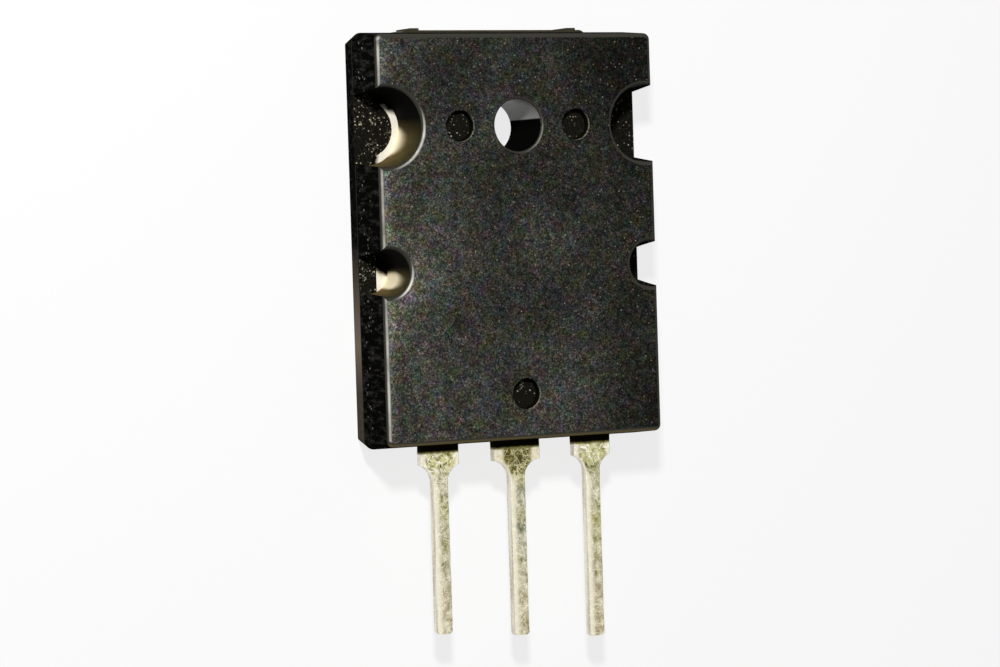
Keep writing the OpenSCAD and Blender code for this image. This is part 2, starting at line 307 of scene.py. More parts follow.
def left_pale_reflection(tree, y, sideways, behind):
    """How much painted pale reflection is on the left taper: more and more down its lower half, and less at
    its foot.
    """
    middle = body_middle.y
    full = middle - REFLECTION_FULL * MM
    end = middle - REFLECTION_END * MM
    lower = add(tree, "ShaderNodeMapRange", {"Value": y, "From Min": middle, "From Max": full})
    foot = add(
        tree,
        "ShaderNodeMapRange",
        {"Value": y, "From Min": full, "From Max": end, "To Min": 1.0, "To Max": REFLECTION_REST},
    )
    leftward = add(tree, "ShaderNodeMapRange", {"Value": sideways, "From Min": -0.5, "From Max": -0.8})
    spread = add(tree, "ShaderNodeMath", {0: lower, 1: foot}, operation="MULTIPLY")
    one_side = add(tree, "ShaderNodeMath", {0: spread, 1: leftward}, operation="MULTIPLY")
    return add(tree, "ShaderNodeMath", {0: behind, 1: one_side}, operation="MULTIPLY")


def outer_wall(tree, where, drag):
    """The outer walls' colour: black, smeared along the draw and flecked, with a painted highlight on the
    mould's flash.

    The taper behind the parting line is plainer, and has a painted pale reflection on its left side.
    """
    _, y, z = add(tree, "ShaderNodeSeparateXYZ", {"Vector": where}).node.outputs
    normal = where.node.outputs["Normal"]
    sideways, _, facing = add(tree, "ShaderNodeSeparateXYZ", {"Vector": normal}).node.outputs
    smeared = add(tree, "ShaderNodeMapRange", {"Value": drag, "From Min": 0.5, "From Max": 0.85})
    black = add(
        tree,
        "ShaderNodeMix",
        {"Factor": smeared, "A": linear("#080807"), "B": linear("#43423d")},
        data_type="RGBA",
    )
    cells = add(tree, "ShaderNodeTexVoronoi", {"Vector": where, "Scale": per(FLECK_SIZE)}, "Color")
    chance = add(tree, "ShaderNodeSeparateColor", {"Color": cells}, "Red")
    rare = add(tree, "ShaderNodeMapRange", {"Value": chance, "From Min": 0.9, "From Max": 1.0})
    core = add(
        tree,
        "ShaderNodeMapRange",
        {"Value": cells.node.outputs["Distance"], "From Min": 0.4, "From Max": 0.1},
    )
    fleck = add(tree, "ShaderNodeMath", {0: rare, 1: core}, operation="MULTIPLY")
    flecked = add(
        tree, "ShaderNodeMix", {"Factor": fleck, "A": black, "B": linear("#97958a")}, data_type="RGBA"
    )
    behind = add(tree, "ShaderNodeMapRange", {"Value": facing, "From Min": -0.1, "From Max": -0.2})
    # painted reflection: a pale sheen down the lower left taper
    pale_reflection = left_pale_reflection(tree, y, sideways, behind)
    plain = add(tree, "ShaderNodeMix", {"Factor": behind, "A": flecked, "B": black}, data_type="RGBA")
    reflecting = add(tree, "ShaderNodeMix", {"Factor": pale_reflection, "A": plain, "B": linear("#85786b")}, data_type="RGBA")
    rise = add(tree, "ShaderNodeMath", {0: z, 1: parting_z}, operation="SUBTRACT")
    height = add(tree, "ShaderNodeMath", {0: rise}, operation="ABSOLUTE")
    # painted highlight: a paler line along the mould's flash at the parting line
    flash = add(
        tree,
        "ShaderNodeMapRange",
        {"Value": height, "From Min": FLASH_HALF * MM, "From Max": FLASH_HALF / 2 * MM},
    )
    return add(tree, "ShaderNodeMix", {"Factor": flash, "A": reflecting, "B": linear("#33322e")}, data_type="RGBA")


# Moulding compound: the walls of its notches, marks and hole

REFLECTION_RISE = 1.6  # from the parting line up to where the painted reflection in an upper notch ends
LOWER_REFLECTION_RISE = 1.0  # how much higher it goes in a lower one
REFLECTION_ACROSS, REFLECTION_UP = 0.914, 0.407  # the way that the wall faces along the painted reflection's middle
REFLECTION_FLARE = 0.12  # how much wider it is at the floor, as a change in the cosine of the wall's turn
BAND_START, BAND_FULL = 0.39, 0.45  # along Y, on the wall of the screw hole
LIP_DEPTH = 0.15


def plate_reflection(tree, y, z, sideways, leaning):
    """How much painted reflection of the header's bright plate shows on a notch's wall, from its floor
    towards its rim.

    It narrows on its way up, and goes higher in the lower notches.
    """
    inward = add(tree, "ShaderNodeMath", {0: sideways}, operation="ABSOLUTE")
    turned = add(tree, "ShaderNodeMath", {0: inward, 1: REFLECTION_ACROSS}, operation="MULTIPLY")
    aligned = add(tree, "ShaderNodeMath", {0: leaning, 1: REFLECTION_UP, 2: turned}, operation="MULTIPLY_ADD")
    in_lower = beside_lower_notches(tree, y)
    lifted = add(
        tree, "ShaderNodeMath", {0: in_lower, 1: -LOWER_REFLECTION_RISE * MM, 2: z}, operation="MULTIPLY_ADD"
    )
    fading = add(
        tree,
        "ShaderNodeMapRange",
        {"Value": lifted, "From Min": parting_z + REFLECTION_RISE * MM, "From Max": parting_z},
    )
    narrowing = add(tree, "ShaderNodeMath", {0: fading, 1: REFLECTION_FLARE, 2: aligned}, operation="MULTIPLY_ADD")
    reflected = add(
        tree,
        "ShaderNodeMapRange",
        {"Value": narrowing, "From Min": 0.98, "From Max": 1.085},
        interpolation_type="SMOOTHSTEP",
    )
    dimming = add(tree, "ShaderNodeMath", {0: fading, 1: 1.6}, operation="POWER")
    strong = add(tree, "ShaderNodeMath", {0: dimming, 1: 1.35}, operation="MULTIPLY", use_clamp=True)
    return add(tree, "ShaderNodeMath", {0: reflected, 1: strong}, operation="MULTIPLY")


def notch_wall(tree, where, drag):
    """The notches' walls: black, with a brown painted glow on the side that faces up the body, and a painted
    reflection.
    """
    _, y, z = add(tree, "ShaderNodeSeparateXYZ", {"Vector": where}).node.outputs
    normal = where.node.outputs["Normal"]
    sideways, leaning, _ = add(tree, "ShaderNodeSeparateXYZ", {"Vector": normal}).node.outputs
    # painted glow: the wall that faces up the body is brown, brightest near the floor
    up_wall = add(
        tree, "ShaderNodeMapRange", {"Value": z, "From Min": parting_z, "From Max": body_high.z - 0.3 * MM}
    )
    painted_shading = add(
        tree,
        "ShaderNodeMix",
        {"Factor": up_wall, "A": linear("#7c6840"), "B": linear("#403d26")},
        data_type="RGBA",
    )
    blotch = add(tree, "ShaderNodeMapRange", {"Value": drag, "From Min": 0.3, "From Max": 0.7, "To Min": 0.6})
    upward = add(tree, "ShaderNodeMapRange", {"Value": leaning, "From Min": -0.25, "From Max": 0.3})
    brown = add(tree, "ShaderNodeMath", {0: upward, 1: blotch}, operation="MULTIPLY")
    glowing = add(
        tree, "ShaderNodeMix", {"Factor": brown, "A": linear("#0f0f0c"), "B": painted_shading}, data_type="RGBA"
    )
    # painted reflection of the lit plate, cream, low on the wall
    painted_reflection = plate_reflection(tree, y, z, sideways, leaning)
    return add(
        tree, "ShaderNodeMix", {"Factor": painted_reflection, "A": glowing, "B": linear("#fff0cc")}, data_type="RGBA"
    )


def mark_wall(tree, z, lit, grain):
    """The walls of the marks and of the hole: black, with a painted highlight on the lip, broken up between
    grains.
    """
    lip = add(
        tree,
        "ShaderNodeMapRange",
        {"Value": z, "From Min": body_high.z - LIP_DEPTH * MM, "From Max": body_high.z - 0.05 * MM},
    )
    to_light = add(tree, "ShaderNodeMapRange", {"Value": lit, "From Min": 0.2, "From Max": 0.5})
    between_grains = add(tree, "ShaderNodeMapRange", {"Value": grain, "From Min": 0.4, "From Max": 0.55})
    # painted highlight on the lip, where it faces up the body and to the left
    on_lip = add(tree, "ShaderNodeMath", {0: lip, 1: to_light}, operation="MULTIPLY")
    pale = add(tree, "ShaderNodeMath", {0: on_lip, 1: between_grains}, operation="MULTIPLY")
    return add(
        tree,
        "ShaderNodeMix",
        {"Factor": pale, "A": linear("#0a0a09"), "B": linear("#b9b196")},
        data_type="RGBA",
    )


def hole_reflection_band(tree, y, radius):
    """1 where the upper part of the screw hole's wall is glossy, with a painted grey reflection."""
    in_hole = add(
        tree,
        "ShaderNodeMapRange",
        {"Value": radius, "From Min": (HOLE_ZONE + ZONE_BLUR / 2) * MM, "From Max": HOLE_ZONE * MM},
    )
    top = add(
        tree, "ShaderNodeMapRange", {"Value": y, "From Min": BAND_START * MM, "From Max": BAND_FULL * MM}
    )
    return add(tree, "ShaderNodeMath", {0: in_hole, 1: top}, operation="MULTIPLY")


# Moulding compound: its rounded edges, and the whole

HIGHLIGHT_PATCH_SIZE = 1.8
FOOT_EDGE = 0.6  # from the body's lowest line up past its bottom edge


def rounded_edge(tree, where, y, radius, lit):
    """The rounded edges' colour: a painted highlight, uneven in patches some millimetres long, weaker round
    the hole.

    The bottom one has a brown painted highlight.
    """
    # painted highlight, strongest where an edge faces up the body and to the left, broken into patches
    turned = add(tree, "ShaderNodeMapRange", {"Value": lit, "From Min": 0.89, "From Max": 1.0})
    patches = add(tree, "ShaderNodeTexNoise", {"Vector": where, "Scale": per(HIGHLIGHT_PATCH_SIZE), "Detail": 3})
    patchy = add(
        tree,
        "ShaderNodeMapRange",
        {"Value": patches, "From Min": 0.35, "From Max": 0.65, "To Min": 0.45, "To Max": 1.25},
    )
    away = add(
        tree,
        "ShaderNodeMapRange",
        {"Value": radius, "From Min": RIM_ZONE * MM, "From Max": (RIM_ZONE + ZONE_BLUR) * MM, "To Min": 0.25},
    )
    uneven = add(tree, "ShaderNodeMath", {0: patchy, 1: away}, operation="MULTIPLY")
    softened = add(tree, "ShaderNodeMath", {0: turned, 1: 1.8}, operation="POWER")
    edge_highlight = add(tree, "ShaderNodeMath", {0: softened, 1: uneven}, operation="MULTIPLY")
    highlighted = add(
        tree,
        "ShaderNodeMix",
        {"Factor": edge_highlight, "A": linear("#383731"), "B": linear("#f0ece0")},
        data_type="RGBA",
    )
    # brown painted highlight along the bottom edge
    leaning = add(tree, "ShaderNodeSeparateXYZ", {"Vector": where.node.outputs["Normal"]}, "Y")
    downward = add(tree, "ShaderNodeMapRange", {"Value": leaning, "From Min": -0.3, "From Max": -0.7})
    outermost = add(
        tree,
        "ShaderNodeMapRange",
        {
            "Value": y,
            "From Min": body_low.y + (FOOT_EDGE + 0.2) * MM,
            "From Max": body_low.y + FOOT_EDGE * MM,
        },
    )
    foot_highlight = add(tree, "ShaderNodeMath", {0: downward, 1: outermost}, operation="MULTIPLY")
    return add(
        tree, "ShaderNodeMix", {"Factor": foot_highlight, "A": highlighted, "B": linear("#7d7048")}, data_type="RGBA"
    )


def moulding_compound(tree):
    """Epoxy moulding compound, black and full of silica, transfer-moulded.

    The mould's spark-eroded face leaves the front a matt grey-black, with painted glints. The walls come out
    smoother and deeper black, smeared along the draw. Rounded edges have a painted highlight, strongest to
    the upper left.
    """
    where = add(tree, "ShaderNodeTexCoord", output="Object")
    x, y, z = add(tree, "ShaderNodeSeparateXYZ", {"Vector": where}).node.outputs
    flat, sunk, edge, recess = body_zones(tree, where)
    reach = add(tree, "ShaderNodeVectorMath", {0: where, 1: (1, 1, 0)}, operation="MULTIPLY")
    radius = add(tree, "ShaderNodeVectorMath", {0: reach}, "Value", operation="LENGTH")
    normal = where.node.outputs["Normal"]
    lit = add(tree, "ShaderNodeVectorMath", {0: normal, 1: HIGHLIGHT_FACING}, "Value", operation="DOT_PRODUCT")
    grain = add(
        tree,
        "ShaderNodeTexNoise",
        {"Vector": where, "Scale": per(GRAIN_SIZE), "Detail": 4, "Roughness": 0.75},
    )
    draw = add(tree, "ShaderNodeMapping", {"Vector": where, "Scale": (1, 1, DRAG_SQUEEZE)})
    drag = add(
        tree, "ShaderNodeTexNoise", {"Vector": draw, "Scale": per(DRAG_SIZE), "Detail": 5, "Roughness": 0.7}
    )

    front = front_face(tree, where, grain)
    # painted shade: the recess floors are darker than the front
    floor = shaded_recess_floor(tree, grain)
    matt = add(tree, "ShaderNodeMix", {"Factor": sunk, "A": front, "B": floor}, data_type="RGBA")
    glint = glints(tree, where, sunk)
    # painted glints: pale specks mixed into the colour
    faces = add(tree, "ShaderNodeMix", {"Factor": glint, "A": matt, "B": linear("#fff2d0")}, data_type="RGBA")

    aside = add(tree, "ShaderNodeMath", {0: x}, operation="ABSOLUTE")
    notch_edge = body_half.x - NOTCH_ZONE * MM
    in_notch = add(
        tree,
        "ShaderNodeMapRange",
        {"Value": aside, "From Min": notch_edge, "From Max": notch_edge + ZONE_BLUR * MM},
    )
    sunk_wall = mark_wall(tree, z, lit, grain)
    notched = notch_wall(tree, where, drag)
    deep = add(tree, "ShaderNodeMix", {"Factor": in_notch, "A": sunk_wall, "B": notched}, data_type="RGBA")
    # painted reflection: a grey band on the upper part of the screw hole's wall
    reflection_band = hole_reflection_band(tree, y, radius)
    lining = add(
        tree, "ShaderNodeMix", {"Factor": reflection_band, "A": deep, "B": linear("#a3a29c")}, data_type="RGBA"
    )
    outer = outer_wall(tree, where, drag)
    walls = add(tree, "ShaderNodeMix", {"Factor": recess, "A": outer, "B": lining}, data_type="RGBA")
    plain = add(tree, "ShaderNodeMix", {"Factor": flat, "A": walls, "B": faces}, data_type="RGBA")
    edged = rounded_edge(tree, where, y, radius, lit)
    colour = add(tree, "ShaderNodeMix", {"Factor": edge, "A": plain, "B": edged}, data_type="RGBA")

    # gloss: the top of the hole is glossy, edges and notch walls are burnished, the rest is dull
    notch_gloss = add(tree, "ShaderNodeMath", {0: in_notch, 1: 0.06}, operation="MULTIPLY")
    lining_gloss = add(tree, "ShaderNodeMath", {0: reflection_band, 1: notch_gloss}, operation="MAXIMUM")
    wall_gloss = add(tree, "ShaderNodeMath", {0: recess, 1: lining_gloss}, operation="MULTIPLY")
    edge_gloss = add(tree, "ShaderNodeMapRange", {"Value": edge, "To Min": 0.005, "To Max": 0.12})
    coat = add(tree, "ShaderNodeMath", {0: wall_gloss, 1: edge_gloss}, operation="MAXIMUM")
    roughness = add(tree, "ShaderNodeMapRange", {"Value": flat, "To Min": 0.45, "To Max": 0.7})
    relief = add(tree, "ShaderNodeMix", {"Factor": flat, "A": drag, "B": grain})
    bump = add(tree, "ShaderNodeBump", {"Height": relief, "Strength": 0.5, "Distance": 0.03 * MM})
    return add(
        tree,
        "ShaderNodeBsdfPrincipled",
        {
            "Base Color": colour,
            "Roughness": roughness,
            "Normal": bump,
            "Specular IOR Level": 0.0,
            "Coat Weight": coat,
            "Coat Roughness": 0.4,
            "Coat IOR": 1.6,
        },
    )


# Metals: painted shadow on the plate, and the tin of the leads

SHADOW_SLANT = 0.7  # how steeply the line that bounds the painted shadow on the plate climbs outwards
UPPER_SHADOW_LINE = -4.1  # where that line crosses the Y axis, for the upper notches
LOWER_SHADOW_LINE = -14.85  # and for the lower ones
SHADOW_TOP = 1.45  # above the upper notches' centres, which are level with the hole's
SHADOW_RAGGED = 0.6
TIP_BLUR = 0.15  # to each side of the header's side
MOTTLE_SIZE = 0.7
NICKEL_ROUGHNESS, TIN_ROUGHNESS = 0.6, 0.35
SHOULDER_NEAR, SHOULDER_FAR = 1.1, 2.6  # below the body: all shoulder, and none
HIGHLIGHT_RIDGE_SHIFT = 0.8  # how much nearer the left edge the painted highlight's bright ridge is at the shoulders
HIGHLIGHT_RIDGE_BLUR = 0.38
RIM_INNER, RIM_OUTER = 0.85, 1.2  # from a lead's middle to where the shoulder's bright rim starts and is full
STAIN_SIZE, STAIN_SQUEEZE = 0.5, 0.7  # the squeeze draws its blotches out along the lead
FAINTEST_STAIN, DEEPEST_STAIN = 0.25, 1.4
DRIFT_SIZE = 2.5
PATCH_SIZE = 0.35
GREY_START, GREY_FULL = 6, 10  # below the body, where the olive goes over into a warm grey
STREAK_SIZE, STREAK_SQUEEZE = 0.3, 0.06  # on the sheared sides, drawn out along the lead too
CREASE_SIZE, CREASE_STRETCH = 0.24, 3.2
CREASE_TURNS = (15, 70, 130)
EDGE_SHADE_SIZE = 3.5
ROOT_SHADOW_LENGTH = 0.3  # length of a lead below the body that is in painted shadow
ROOT_SHADOW_RAGGED = 0.2


def root_shadow_mask(tree, y, blotch, start, end):
    """1 above a ragged line across the leads, from `start` to `end` millimetres above where the painted root
    shadow ends.
    """
    ragged = add(tree, "ShaderNodeMath", {0: blotch, 1: ROOT_SHADOW_RAGGED * MM, 2: y}, operation="MULTIPLY_ADD")
    line = body_low.y - ROOT_SHADOW_LENGTH * MM
    return add(
        tree,
        "ShaderNodeMapRange",
        {"Value": ragged, "From Min": line + start * MM, "From Max": line + end * MM},
    )


def creases(tree, where, near):
    """Fine bright creases of the soft coat: short strokes in three directions, most at the shoulders."""
    creased = 0.0
    for turn in CREASE_TURNS:
        laid = add(
            tree,
            "ShaderNodeMapping",
            {"Vector": where, "Rotation": (0, 0, math.radians(turn)), "Scale": (1, CREASE_STRETCH, 1)},
            vector_type="TEXTURE",
        )
        field = add(
            tree, "ShaderNodeTexNoise", {"Vector": laid, "Scale": per(CREASE_SIZE), "Detail": 1}, "Color"
        )
        wavering, broken, _ = add(tree, "ShaderNodeSeparateColor", {"Color": field}).node.outputs
        middle = add(tree, "ShaderNodeMath", {0: wavering, 1: 0.5}, operation="SUBTRACT")
        off = add(tree, "ShaderNodeMath", {0: middle}, operation="ABSOLUTE")
        thin = add(tree, "ShaderNodeMapRange", {"Value": off, "From Min": 0.042, "From Max": 0.012})
        short = add(tree, "ShaderNodeMapRange", {"Value": broken, "From Min": 0.48, "From Max": 0.58})
        stroke = add(tree, "ShaderNodeMath", {0: thin, 1: short}, operation="MULTIPLY")
        creased = add(tree, "ShaderNodeMath", {0: stroke, 1: creased}, operation="MAXIMUM")
    strength = add(tree, "ShaderNodeMapRange", {"Value": near, "To Min": 0.5, "To Max": 0.9})
    return add(tree, "ShaderNodeMath", {0: creased, 1: strength}, operation="MULTIPLY")


def stain_zone(tree, x, near, facing):
    """1 where stain lies: on the front, right of the painted highlight's ridge, and left of the shoulders'
    bright rim.
    """
    across = add(tree, "ShaderNodeMath", {0: x, 1: lead_pitch / 2, 2: -lead_pitch / 2}, operation="WRAP")
    # painted highlight: no stain on a ridge down the left of the face
    shifted = add(tree, "ShaderNodeMath", {0: near, 1: HIGHLIGHT_RIDGE_SHIFT * MM, 2: across}, operation="MULTIPLY_ADD")
    band = add(
        tree,
        "ShaderNodeMapRange",
        {"Value": shifted, "From Min": -HIGHLIGHT_RIDGE_BLUR * MM, "From Max": 0.0},
        interpolation_type="SMOOTHSTEP",
    )
    inside = add(
        tree,
        "ShaderNodeMapRange",
        {"Value": across, "From Min": RIM_OUTER * MM, "From Max": RIM_INNER * MM},
        interpolation_type="SMOOTHSTEP",
    )
    between = add(tree, "ShaderNodeMath", {0: band, 1: inside}, operation="MULTIPLY")
    face = add(tree, "ShaderNodeMapRange", {"Value": facing, "From Min": 0.75, "From Max": 0.95})
    return add(tree, "ShaderNodeMath", {0: face, 1: between}, operation="MULTIPLY")


def stain_depth(tree, near, blotch):
    """How deep the stain is: a little deeper at the shoulders, and past 1 it goes beyond its own colour."""
    thicker = add(tree, "ShaderNodeMath", {0: near, 1: 0.1, 2: blotch}, operation="MULTIPLY_ADD")
    return add(
        tree,
        "ShaderNodeMapRange",
        {
            "Value": thicker,
            "From Min": 0.36,
            "From Max": 0.66,
            "To Min": FAINTEST_STAIN,
            "To Max": DEEPEST_STAIN,
        },
        clamp=False,
    )


def stain_colour(tree, where, y, near, shoulder_dirt):
    """Olive, greyer in places and lower down, and in dark patches over its own colour at the shoulders."""
    drift = add(tree, "ShaderNodeTexNoise", {"Vector": where, "Scale": per(DRIFT_SIZE), "Detail": 1})
    greyer = add(tree, "ShaderNodeMapRange", {"Value": drift, "From Min": 0.4, "From Max": 0.6})
    low_down = add(
        tree,
        "ShaderNodeMapRange",
        {"Value": y, "From Min": body_low.y - GREY_START * MM, "From Max": body_low.y - GREY_FULL * MM},
    )
    olive = add(
        tree,
        "ShaderNodeMix",
        {"Factor": greyer, "A": linear("#9a9460"), "B": linear("#92937c")},
        data_type="RGBA",
    )
    fading = add(
        tree, "ShaderNodeMix", {"Factor": low_down, "A": olive, "B": linear("#a59a7c")}, data_type="RGBA"
    )
    patchy = add(tree, "ShaderNodeTexNoise", {"Vector": where, "Scale": per(PATCH_SIZE), "Detail": 2})
    dark = add(
        tree, "ShaderNodeMapRange", {"Value": patchy, "From Min": 0.45, "From Max": 0.65, "To Max": 0.7}
    )
    shoulder = add(
        tree,
        "ShaderNodeMix",
        {"Factor": dark, "A": linear(shoulder_dirt), "B": linear("#6f6a38")},
        data_type="RGBA",
    )
    return add(tree, "ShaderNodeMix", {"Factor": near, "A": fading, "B": shoulder}, data_type="RGBA")


def clean_tin(tree, where, facing):
    """The bright coat's colour: even on the faces, and streaked on the sides, where the strip was sheared."""
    edge_on = add(tree, "ShaderNodeMapRange", {"Value": facing, "From Min": 0.2, "From Max": 0.5})
    drawn_out = add(tree, "ShaderNodeMapping", {"Vector": where, "Scale": (1, STREAK_SQUEEZE, 1)})
    streak = add(tree, "ShaderNodeTexNoise", {"Vector": drawn_out, "Scale": per(STREAK_SIZE), "Detail": 2})
    sheared = add(tree, "ShaderNodeMapRange", {"Value": streak, "From Min": 0.4, "From Max": 0.62})
    side = add(
        tree,
        "ShaderNodeMix",
        {"Factor": sheared, "A": linear("#e6e2d3"), "B": linear("#bcb3a2")},
        data_type="RGBA",
    )
    return add(
        tree, "ShaderNodeMix", {"Factor": edge_on, "A": side, "B": linear("#e6dfc8")}, data_type="RGBA"
    )


def edge_shade(tree, where, sideways):
    """1 on a line, here and there, of painted shade along a lead's right-hand edge."""
    on_edge = add(tree, "ShaderNodeMapRange", {"Value": sideways, "From Min": 0.12, "From Max": 0.4})
    long_noise = add(tree, "ShaderNodeTexNoise", {"Vector": where, "Scale": per(EDGE_SHADE_SIZE), "Detail": 1})
    here = add(tree, "ShaderNodeMapRange", {"Value": long_noise, "From Min": 0.42, "From Max": 0.56})
    return add(tree, "ShaderNodeMath", {0: on_edge, 1: here}, operation="MULTIPLY")


def root_shadow(tree, y, blotch, coat):
    """The lead's colour over its coat: painted shadow of the body at the root, olive along its lower edge and
    dark above it.
    """
    # painted shadow of the body's overhang on the lead's root, olive at its lower edge
    thin = root_shadow_mask(tree, y, blotch, -0.06, 0.04)
    penumbra = add(
        tree, "ShaderNodeMix", {"Factor": thin, "A": coat, "B": linear("#6d6739")}, data_type="RGBA"
    )
    shadowed = root_shadow_mask(tree, y, blotch, 0.06, 0.16)
    painted_shadow = add(
        tree,
        "ShaderNodeMix",
        {"Factor": blotch, "A": linear("#080603"), "B": linear("#37301a")},
        data_type="RGBA",
    )
    colour = add(tree, "ShaderNodeMix", {"Factor": shadowed, "A": penumbra, "B": painted_shadow}, data_type="RGBA")
    return colour, shadowed


def tin(tree, where, shoulder_dirt, shoulder_creases):
    """Hot-dipped tin on a lead: its colour, the relief of its surface, and where it is metallic, out of
    painted shadow.

    A bright ridge of painted highlight runs down the left of the face. The rest has an uneven olive stain,
    with fine bright creases. At the shoulders the stain and the creases have their own colours, and a bright
    rim is left on the right. Each root is dark with painted shadow, where the body overhangs it.
    """
    normal = where.node.outputs["Normal"]
    x, y, _ = add(tree, "ShaderNodeSeparateXYZ", {"Vector": where}).node.outputs
    sideways, _, facing = add(tree, "ShaderNodeSeparateXYZ", {"Vector": normal}).node.outputs
    near = add(
        tree,
        "ShaderNodeMapRange",
        {
            "Value": y,
            "From Min": body_low.y - SHOULDER_FAR * MM,
            "From Max": body_low.y - SHOULDER_NEAR * MM,
        },
    )
    along = add(tree, "ShaderNodeMapping", {"Vector": where, "Scale": (1, STAIN_SQUEEZE, 1)})
    blotch = add(
        tree,
        "ShaderNodeTexNoise",
        {"Vector": along, "Scale": per(STAIN_SIZE), "Detail": 5, "Roughness": 0.8},
    )
    depth = stain_depth(tree, near, blotch)
    stainable = stain_zone(tree, x, near, facing)
    stain = add(tree, "ShaderNodeMath", {0: depth, 1: stainable}, operation="MULTIPLY")
    clean = clean_tin(tree, where, facing)
    dirt = stain_colour(tree, where, y, near, shoulder_dirt)
    dirty = add(
        tree,
        "ShaderNodeMix",
        {"Factor": stain, "A": clean, "B": dirt},
        data_type="RGBA",
        clamp_factor=False,
    )
    coat = add(tree, "ShaderNodeVectorMath", {0: dirty, 1: linear("#4a4529")[:3]}, operation="MAXIMUM")

    creased = creases(tree, where, near)
    fold = add(
        tree,
        "ShaderNodeMix",
        {"Factor": near, "A": linear("#fff9dc"), "B": linear(shoulder_creases)},
        data_type="RGBA",
    )
    bright = add(tree, "ShaderNodeMix", {"Factor": creased, "A": coat, "B": fold}, data_type="RGBA")
    # painted shade along the right-hand edges, which face away from the lamp
    line = edge_shade(tree, where, sideways)
    edge_shaded = add(
        tree, "ShaderNodeMix", {"Factor": line, "A": bright, "B": linear("#4b4530")}, data_type="RGBA"
    )
    colour, shadowed = root_shadow(tree, y, blotch, edge_shaded)
    relief = add(tree, "ShaderNodeMath", {0: creased, 1: 0.5, 2: blotch}, operation="MULTIPLY_ADD")
    unshadowed = add(tree, "ShaderNodeMath", {0: 1.0, 1: shadowed}, operation="SUBTRACT")
    return colour, relief, unshadowed


def metal(tree, colour, relief, roughness, metallic=1.0):
    """A metal's shader. Where it isn't metallic, painted shadow or an unplated sheared face hides it, and
    nothing shines.
    """
    bump = add(tree, "ShaderNodeBump", {"Height": relief, "Strength": 0.5, "Distance": 0.02 * MM})
    return add(
        tree,
        "ShaderNodeBsdfPrincipled",
        {
            "Base Color": colour,
            "Metallic": metallic,
            "Roughness": roughness,
            "Normal": bump,
            "Specular IOR Level": 0.0,
        },
    )


def tinned_copper(tree):
    """Copper strip, stamped and then hot-dipped in tin: bright, warm and unevenly stained."""
    where = add(tree, "ShaderNodeTexCoord", output="Object")
    colour, relief, unshadowed = tin(tree, where, shoulder_dirt="#d2cc9c", shoulder_creases="#fffdf0")
    return metal(tree, colour, relief, TIN_ROUGHNESS, unshadowed)


def notch_shadow(tree, x, y, facing, mottle):
    """Where painted shadow, black, darkens the plate in the notches.

    It covers the upper part of each ledge, from the wall outwards; the outer tip of the upper ones is painted
    black too.
    """
    in_lower = beside_lower_notches(tree, y)
    stops = add(
        tree,
        "ShaderNodeMapRange",
        {"Value": in_lower, "To Min": UPPER_SHADOW_LINE * MM, "To Max": LOWER_SHADOW_LINE * MM},
    )
    aside = add(tree, "ShaderNodeMath", {0: x}, operation="ABSOLUTE")
    slanted = add(tree, "ShaderNodeMath", {0: aside, 1: SHADOW_SLANT, 2: stops}, operation="MULTIPLY_ADD")
    line = add(tree, "ShaderNodeMath", {0: slanted, 1: SHADOW_TOP * MM}, operation="MINIMUM")
    past = add(tree, "ShaderNodeMath", {0: y, 1: line}, operation="SUBTRACT")
    ragged = add(tree, "ShaderNodeMath", {0: mottle, 1: SHADOW_RAGGED * MM, 2: past}, operation="MULTIPLY_ADD")
    down = add(tree, "ShaderNodeMapRange", {"Value": ragged, "From Min": 0.15 * MM, "From Max": 0.45 * MM})
    outward = add(
        tree, "ShaderNodeMath", {0: mottle, 1: SHADOW_RAGGED * MM, 2: aside}, operation="MULTIPLY_ADD"
    )
    tip = add(
        tree,
        "ShaderNodeMapRange",
        {
            "Value": outward,
            "From Min": header_high.x - TIP_BLUR * MM,
            "From Max": header_high.x + TIP_BLUR * MM,
        },
    )
    upper_tip = add(tree, "ShaderNodeMath", {0: tip, 1: in_lower}, operation="SUBTRACT", use_clamp=True)
    in_shadow = add(tree, "ShaderNodeMath", {0: down, 1: upper_tip}, operation="MAXIMUM")
    in_front = add(tree, "ShaderNodeMath", {0: facing, 1: 0.5}, operation="GREATER_THAN")
    return add(tree, "ShaderNodeMath", {0: in_shadow, 1: in_front}, operation="MULTIPLY")


def plate_colour(tree, x, y, facing, mottle):
    """The plate's colour: pale nickel on its faces, painted shadow over it in the notches, and brown on its
    sheared sides.
    """
    flat = add(tree, "ShaderNodeMath", {0: facing}, operation="ABSOLUTE")
    face = add(tree, "ShaderNodeMapRange", {"Value": flat, "From Min": 0.8, "From Max": 0.98})
    moulded = add(
        tree,
        "ShaderNodeMapRange",
        {"Value": y, "From Min": body_high.y - 0.1 * MM, "From Max": body_high.y - 0.3 * MM},
    )
    clean = add(tree, "ShaderNodeMath", {0: face, 1: moulded}, operation="MULTIPLY")
    nickel = add(
        tree,
        "ShaderNodeMix",
        {"Factor": mottle, "A": linear("#fffaf0"), "B": linear("#f6ecd2")},
        data_type="RGBA",
    )
    sheared = add(
        tree,
        "ShaderNodeMix",
        {"Factor": mottle, "A": linear("#2c2a20"), "B": linear("#4f4b3c")},
        data_type="RGBA",
    )
    # painted shadow over the plate in the notches
    painted_shading = notch_shadow(tree, x, y, facing, mottle)
    shaded_nickel = add(
        tree, "ShaderNodeMix", {"Factor": painted_shading, "A": nickel, "B": linear("#0e0d0a")}, data_type="RGBA"
    )
    return add(tree, "ShaderNodeMix", {"Factor": clean, "A": sheared, "B": shaded_nickel}, data_type="RGBA")


